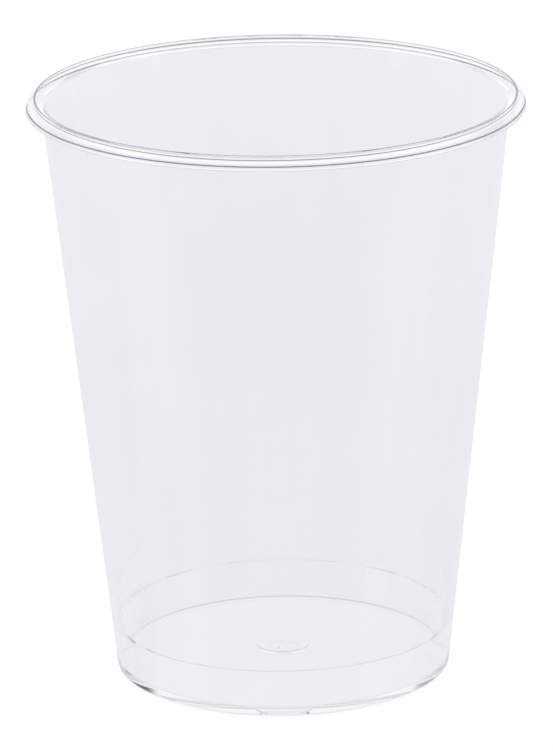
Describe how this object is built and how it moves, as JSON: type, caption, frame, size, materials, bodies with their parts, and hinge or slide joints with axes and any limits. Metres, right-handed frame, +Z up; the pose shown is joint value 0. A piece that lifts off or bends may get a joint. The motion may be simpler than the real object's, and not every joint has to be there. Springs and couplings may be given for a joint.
{
  "type": "plastic disposable cup",
  "caption": "Clear plastic tumbler with a rolled hollow rim, a plain tapered wall, an inner shoulder for stacking and a domed base with a round gate mark.",
  "frame": {"origin": "centre of the foot ring, on the table", "axes": "+Z up along the cup's axis, out of the mouth; the cup is the same all round, and +Y points away from the picture's camera"},
  "size_m": [0.086, 0.086, 0.1035],
  "materials": {
    "clear_plastic": "clear and see-through, glossy, with a faint cool tint and long soft flow marks from moulding"
  },
  "bodies": {
    "root": {"cup": "clear_plastic"}
  },
  "joints": []
}
